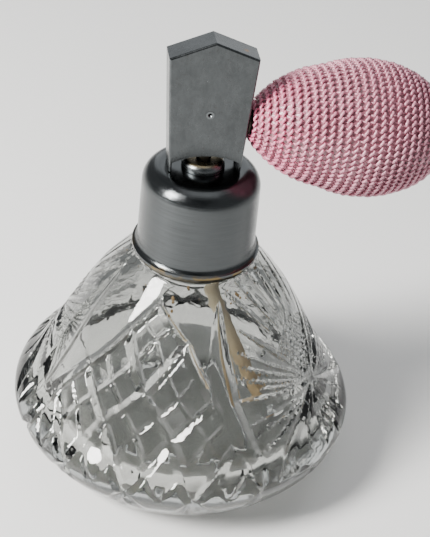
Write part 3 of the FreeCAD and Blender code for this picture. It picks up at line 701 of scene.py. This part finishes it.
def floor_material():
    """Plain pale floor with the faintest grain."""
    n = Nodes("pale_floor")
    n.set(Base_Color=n.mix(n.noise(3.0, 2.0), (0.88, 0.88, 0.87, 1), (0.85, 0.85, 0.84, 1)),
          Roughness=n.ramp(n.noise(20.0, 2.0), [(0.3, 0.55), (0.7, 0.62)]))
    return n.mat


def give(obj, material):
    """The material in the object's first slot."""
    if not obj.material_slots:
        obj.data.materials.append(material)
    for place in obj.material_slots:
        place.material = material


# ------------------------------------------------------------------ settings
class AtomiserSettings(bpy.types.PropertyGroup):
    """Sizes and colours that can be changed before the pieces are built."""

    glass_sides: IntProperty(
        name="Glass sides", description="Points round the glass body", default=600, min=64)
    row_pitch: FloatProperty(
        name="Row pitch", description="Distance between the cover's rows", default=0.00215,
        subtype="DISTANCE", unit="LENGTH")
    stitch_pitch: FloatProperty(
        name="Stitch pitch", description="Distance between stitches", default=0.0018,
        subtype="DISTANCE", unit="LENGTH")
    yarn: FloatProperty(
        name="Yarn", description="Radius of a strand", default=0.0004,
        subtype="DISTANCE", unit="LENGTH")
    yarn_light: FloatVectorProperty(
        name="Yarn light", description="Lighter yarn colour", subtype="COLOR",
        default=(0.62, 0.26, 0.34))
    yarn_deep: FloatVectorProperty(
        name="Yarn deep", description="Deeper yarn colour", subtype="COLOR",
        default=(0.34, 0.115, 0.165))
    yarn_warm: FloatVectorProperty(
        name="Yarn near the head", description="Less faded yarn colour", subtype="COLOR",
        default=(0.82, 0.17, 0.32))
    chrome: FloatVectorProperty(
        name="Chrome", description="Plating colour", subtype="COLOR",
        default=(0.080, 0.086, 0.089))
    brass: FloatVectorProperty(
        name="Brass", description="Colour of the brass pieces", subtype="COLOR",
        default=(0.46, 0.32, 0.13))


# ------------------------------------------------------------------ operators
class ATOMISER_OT_glass(bpy.types.Operator):
    """Build the cut glass body"""

    bl_idname = "atomiser.glass"
    bl_label = "Cut glass body"

    def execute(self, context):
        obj = build_bottle(context.scene.atomiser.glass_sides)
        give(obj, glass_material())
        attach(obj, "bottle")
        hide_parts("glass_bottle")
        return {"FINISHED"}


class ATOMISER_OT_dip_tube(bpy.types.Operator):
    """Build the leaning dip tube"""

    bl_idname = "atomiser.dip_tube"
    bl_label = "Dip tube"

    def execute(self, context):
        """A tube round a curved line: its centre is a quadratic curve between three places."""
        a, b, c = (np.array(p, float) for p in ((0, 0, 72.9), (2.2, -0.4, 56), (22.5, -6, 18.5)))
        t = np.linspace(0.0, 1.0, 40)[:, None]
        line = (1 - t) ** 2 * a + 2 * t * (1 - t) * b + t**2 * c
        tangent = np.gradient(line, axis=0)
        tangent /= np.linalg.norm(tangent, axis=1, keepdims=True)
        side = np.cross(tangent, [0.0, 1.0, 0.0])
        side /= np.linalg.norm(side, axis=1, keepdims=True)
        other = np.cross(tangent, side)
        sides = 28
        spin = np.arange(sides) * TURN / sides

        def layer(radius, drop):
            ring = (side[:, None] * np.cos(spin)[None, :, None]
                    + other[:, None] * np.sin(spin)[None, :, None]) * radius
            points = line[:, None] + ring
            slant = np.cos(spin)[:, None] * drop
            points[-1] += tangent[-1] * slant
            return points

        rings = np.concatenate([layer(2.0, 1.2), layer(1.2, 0.7)[::-1]])
        quads = ring_faces(len(rings), sides)
        last = (len(rings) - 1) * sides
        col = np.arange(sides)
        after = (col + 1) % sides
        quads = np.concatenate([quads, np.stack([last + col, last + after, after, col], -1)])
        obj = new_object("dip_tube_leaning", rings.reshape(-1, 3), [quads])
        give(obj, tube_material())
        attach(obj, "head")
        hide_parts("dip_tube")
        return {"FINISHED"}


class ATOMISER_OT_bulb(bpy.types.Operator):
    """Build the rubber bulb and the knitted cover over it"""

    bl_idname = "atomiser.bulb"
    bl_label = "Bulb and cover"

    def execute(self, context):
        cfg = context.scene.atomiser
        row_pitch, stitch_pitch, yarn_radius = (
            round(value / MM, 4) for value in (cfg.row_pitch, cfg.stitch_pitch, cfg.yarn))
        rubber = bulb_shell("rubber_skin", 1.5, 2.7, 60, 72, front=0.9, back=0.6)
        give(rubber, matt_material("old_rubber", (0.16, 0.07, 0.08), (0.09, 0.04, 0.045), 300.0))
        soft_on_head(rubber, ("rubber_bulb", "rubber_wall_top", "rubber_wall_bottom"))

        def ripple(turn, far):
            return 0.10 * np.cos(TURN * far / row_pitch) * np.cos(turn * 40.0)

        ground = bulb_shell("knit_ground", 0.72, 1.22, 150, 180, ripple=ripple)
        # the ground is the yarn pushed towards its deep colour: painted shade in the gaps between the
        # strands
        attribute(ground, "shade", np.full(len(ground.data.vertices), 0.9))
        attribute(ground, "far", np.full(len(ground.data.vertices), 30.0))
        give(ground, yarn_material("knit_ground_painted_gap_shade", (0.34, 0.12, 0.16), (0.20, 0.065, 0.09),
                                   (0.34, 0.10, 0.15)))
        soft_on_head(ground, ("knit_cover", "knit_wall_top", "knit_wall_bottom"))

        yarn = yarn_material("knit_yarn", cfg.yarn_light, cfg.yarn_deep, cfg.yarn_warm)
        places = stitch_places(row_pitch, stitch_pitch)
        turn = np.linspace(-1.0, 1.0, 7)
        front = np.stack([0.34 * np.sin(turn * 2.7), -1.02 * turn, -0.62 * turn**4,
                          1.05 - 0.35 * turn**2], -1)
        back = np.linspace(-1.0, 1.0, 5)
        loop = np.stack([1.15 * back, 0.9 + 0.3 * back, -0.62 - 0.25 * back**2,
                         0.85 - 0.2 * back**2], -1)
        for name, shape, seed in (("knit_strands", front, 5), ("knit_loops", loop, 8)):
            obj = strands(name, places, shape, yarn_radius, seed)
            give(obj, yarn)
            soft_on_head(obj)
        # a knitted tube, drawn in at both ends
        return {"FINISHED"}


class ATOMISER_OT_metal(bpy.types.Operator):
    """Finish the metal, plaster and washer pieces"""

    bl_idname = "atomiser.metal"
    bl_label = "Metal finishes"

    def execute(self, context):
        cfg = context.scene.atomiser
        nodes = frame["nodes"]
        chrome = tuple(cfg.chrome)
        brass = tuple(cfg.brass)
        collar = chrome_material("collar_chrome", [c * 0.84 for c in chrome],
                                 (60.0, 60.0, 5200.0), rim_wear, matt=0.72)
        head = chrome_material("head_chrome", [c * 0.94 for c in chrome],
                               (420.0, 420.0, 260.0), head_wear, (0.2, 0.11, 0.05, 1))
        bush = chrome_material("bush_chrome", [c * 1.5 for c in chrome], (300.0, 300.0, 2600.0),
                               bush_wear, (0.22, 0.18, 0.11, 1))
        aged = brass_material("aged_brass", brass)
        # near-black brass for the hidden inner parts: painted shade of the head's dark inner bay
        dark = brass_material("brass_painted_bay_shade", (0.05, 0.045, 0.035), 0.5)
        steel = chrome_material("clip_steel", (0.5, 0.5, 0.5), (900.0, 900.0, 900.0))
        # grainy plaster, darkened to grey so the band under the collar reads as painted shade
        plaster = matt_material("plaster_painted_gap_shade", (0.13, 0.12, 0.095), (0.05, 0.04, 0.025), 350.0)
        washer = matt_material("washer_rubber", (0.10, 0.07, 0.05), (0.05, 0.035, 0.03), 400.0)
        finishes = {
            "screw_collar": collar, "head_shell": head, "stem_bush": bush,
            "neck_cement": plaster, "neck_washer": washer, "stem_clip": steel,
            "valve_ball": steel,
        }
        for name in ("neck_ferrule", "tube_socket"):
            finishes[name] = aged
        finishes["jet_nozzle"] = chrome_material(
            "jet_nickel", [c * 1.6 for c in chrome], (2600.0, 2600.0, 2600.0))
        # the inner parts take the near-black brass as painted shade
        for name in ("stem_tube", "spray_block", "bulb_nipple", "neck_binding", "valve_body",
                     "seal_plate", "bush_nut"):
            finishes[name] = dark
        for name, material in finishes.items():
            give(nodes[name], material)
        return {"FINISHED"}


class ATOMISER_OT_residue(bpy.types.Operator):
    """Scatter flakes of old plaster on the glass under the collar"""

    bl_idname = "atomiser.residue"
    bl_label = "Residue flakes"

    def execute(self, context):
        """Each flake is a low dome on the glass: rings whose radius wobbles with the turn."""
        rng = np.random.default_rng(21)
        known = np.array([
            (-112.8, 63.8, 0.55), (-112.3, 63.2, 0.40), (-111.5, 61.3, 0.42), (-112.8, 60.2, 0.34),
            (-102.2, 66.6, 0.42), (-101.7, 66.3, 0.3), (-60.8, 64.0, 0.5), (-62.0, 64.4, 0.4),
            (-59.6, 63.3, 0.34), (-68.5, 62.8, 0.26), (-29.8, 66.6, 0.4), (-27.0, 66.5, 0.4)])
        extra = np.stack([-90.0 + rng.normal(0.0, 60.0, 16), 66.6 - rng.random(16) * 5.0,
                          0.12 + 0.12 * rng.random(16)], -1)
        angle, height, size = np.concatenate([known, extra]).T
        angle = np.radians(angle)
        count, sides = len(angle), 8
        spin = np.arange(sides) * TURN / sides
        verts, tris = [], []
        for k in range(count):
            r = float(monotone(height[k], GLASS_HEIGHTS, GLASS_RADII))
            out = np.array([math.cos(angle[k]), math.sin(angle[k]), 0.62])
            out /= np.linalg.norm(out)
            side = np.array([-math.sin(angle[k]), math.cos(angle[k]), 0.0])
            up = np.cross(out, side)
            centre = np.array([r * math.cos(angle[k]), r * math.sin(angle[k]), height[k]])
            wobble = size[k] * (0.75 + 0.5 * rng.random(sides))[:, None]
            edge = side * np.cos(spin)[:, None] + up * np.sin(spin)[:, None] * 1.4
            low = centre + edge * wobble - out * 0.08
            mid = centre + edge * wobble * 0.62 + out * 0.10
            first = k * (2 * sides + 2)
            verts.append(np.concatenate([low, mid, [centre - out * 0.12, centre + out * 0.13]]))
            quads = ring_faces(2, sides, first)
            tris.append(np.concatenate([
                quads[:, [0, 1, 2]], quads[:, [0, 2, 3]],
                pole_faces(first, sides, first + 2 * sides, True),
                pole_faces(first + sides, sides, first + 2 * sides + 1, False)]))
        obj = new_object("neck_flakes", np.concatenate(verts), [np.concatenate(tris)])
        give(obj, matt_material("flake_plaster", (0.16, 0.10, 0.035), (0.04, 0.025, 0.01), 900.0))
        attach(obj, "bottle")
        return {"FINISHED"}


def facing(aim, heading, rise, far):
    """Placement at a heading and a height angle, far from aim, with +Z turned to look back."""
    turn, lift = math.radians(heading), math.radians(rise)
    out = Vector((math.cos(turn) * math.cos(lift), math.sin(turn) * math.cos(lift),
                  math.sin(lift)))
    return Matrix.Translation(aim + out * far) @ out.to_track_quat("Z", "Y").to_matrix().to_4x4()


class ATOMISER_OT_stage(bpy.types.Operator):
    """Lay the floor, hang the lights and set the camera"""

    bl_idname = "atomiser.stage"
    bl_label = "Floor, lights and camera"

    def execute(self, context):
        scene = context.scene
        floor = new_object("floor", [(-1500, -1500, -0.05), (1500, -1500, -0.05),
                                     (1500, 1500, -0.05), (-1500, 1500, -0.05)], [[(0, 1, 2, 3)]])
        give(floor, floor_material())
        world = bpy.data.worlds.new("studio")
        scene.world = world
        world.use_nodes = True
        sky = world.node_tree.nodes["Background"].inputs
        sky["Color"].default_value = (0.95, 0.98, 1.0, 1.0)
        sky["Strength"].default_value = 0.34
        # name, heading, height angle, distance, width, height, brightness, colour
        lights = [
            ("window", -161.0, 35.0, 0.80, 0.24, 0.36, 78.0, (1.0, 0.98, 0.95)),
            ("back_panel", 70.0, 26.0, 1.25, 1.6, 0.8, 1.2, (0.96, 0.98, 1.0)),
            ("overhead", 0.0, 88.0, 1.30, 0.9, 0.9, 1.1, (1.0, 1.0, 1.0)),
        ]
        aim = Vector((0.0, 0.0, 0.07))
        for name, heading, rise, far, wide, tall, bright, colour in lights:
            data = bpy.data.lights.new(name, "AREA")
            data.shape = "RECTANGLE"
            data.size, data.size_y = wide, tall
            data.energy = bright * math.pi * wide * tall
            data.color = colour
            lamp = bpy.data.objects.new(name, data)
            lamp.matrix_world = facing(aim, heading, rise, far)
            scene.collection.objects.link(lamp)
        card = new_object("dark_card", [(-260, -230, 0), (260, -230, 0), (260, 230, 0),
                                        (-260, 230, 0)], [[(0, 1, 2, 3)]])
        card.matrix_world = facing(aim, -100.0, 40.0, 0.78)
        give(card, matt_material("dark_cloth", (0.02, 0.025, 0.03), (0.015, 0.018, 0.02), 20.0))

        pitch, yaw, roll = (math.radians(a) for a in CAMERA_TURNS)
        look = Vector((math.sin(yaw) * math.cos(pitch), math.cos(yaw) * math.cos(pitch),
                       -math.sin(pitch)))
        right = Vector((math.cos(yaw), -math.sin(yaw), 0.0))
        up = right.cross(look)
        right_r = right * math.cos(roll) + up * math.sin(roll)
        up_r = up * math.cos(roll) - right * math.sin(roll)
        data = bpy.data.cameras.new("camera")
        data.sensor_width = 36.0
        data.lens = CAMERA_LENS
        data.clip_start = 0.01
        camera = bpy.data.objects.new("camera", data)
        turn = Matrix((right_r, up_r, -look)).transposed().to_4x4()
        camera.matrix_world = Matrix.Translation(Vector(CAMERA_PLACE) * MM) @ turn
        scene.collection.objects.link(camera)
        scene.camera = camera
        return {"FINISHED"}


class ATOMISER_PT_panel(bpy.types.Panel):
    """Lists the settings and the build steps"""

    bl_idname = "ATOMISER_PT_panel"
    bl_label = "Atomiser"
    bl_space_type = "VIEW_3D"
    bl_region_type = "UI"
    bl_category = "Atomiser"

    def draw(self, context):
        for name in AtomiserSettings.__annotations__:
            self.layout.prop(context.scene.atomiser, name)
        for operator in OPERATORS:
            self.layout.operator(operator.bl_idname)


OPERATORS = (
    ATOMISER_OT_stage,
    ATOMISER_OT_glass,
    ATOMISER_OT_dip_tube,
    ATOMISER_OT_bulb,
    ATOMISER_OT_metal,
    ATOMISER_OT_residue,
)
CLASSES = (AtomiserSettings, *OPERATORS, ATOMISER_PT_panel)


def register():
    for cls in CLASSES:
        bpy.utils.register_class(cls)
    bpy.types.Scene.atomiser = PointerProperty(type=AtomiserSettings)


def unregister():
    del bpy.types.Scene.atomiser
    for cls in reversed(CLASSES):
        bpy.utils.unregister_class(cls)


def main():
    register()
    bpy.ops.atomiser.stage()
    bpy.ops.atomiser.glass()
    bpy.ops.atomiser.dip_tube()
    bpy.ops.atomiser.bulb()
    bpy.ops.atomiser.metal()
    bpy.ops.atomiser.residue()
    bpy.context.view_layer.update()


if __name__ == "__main__":
    main()
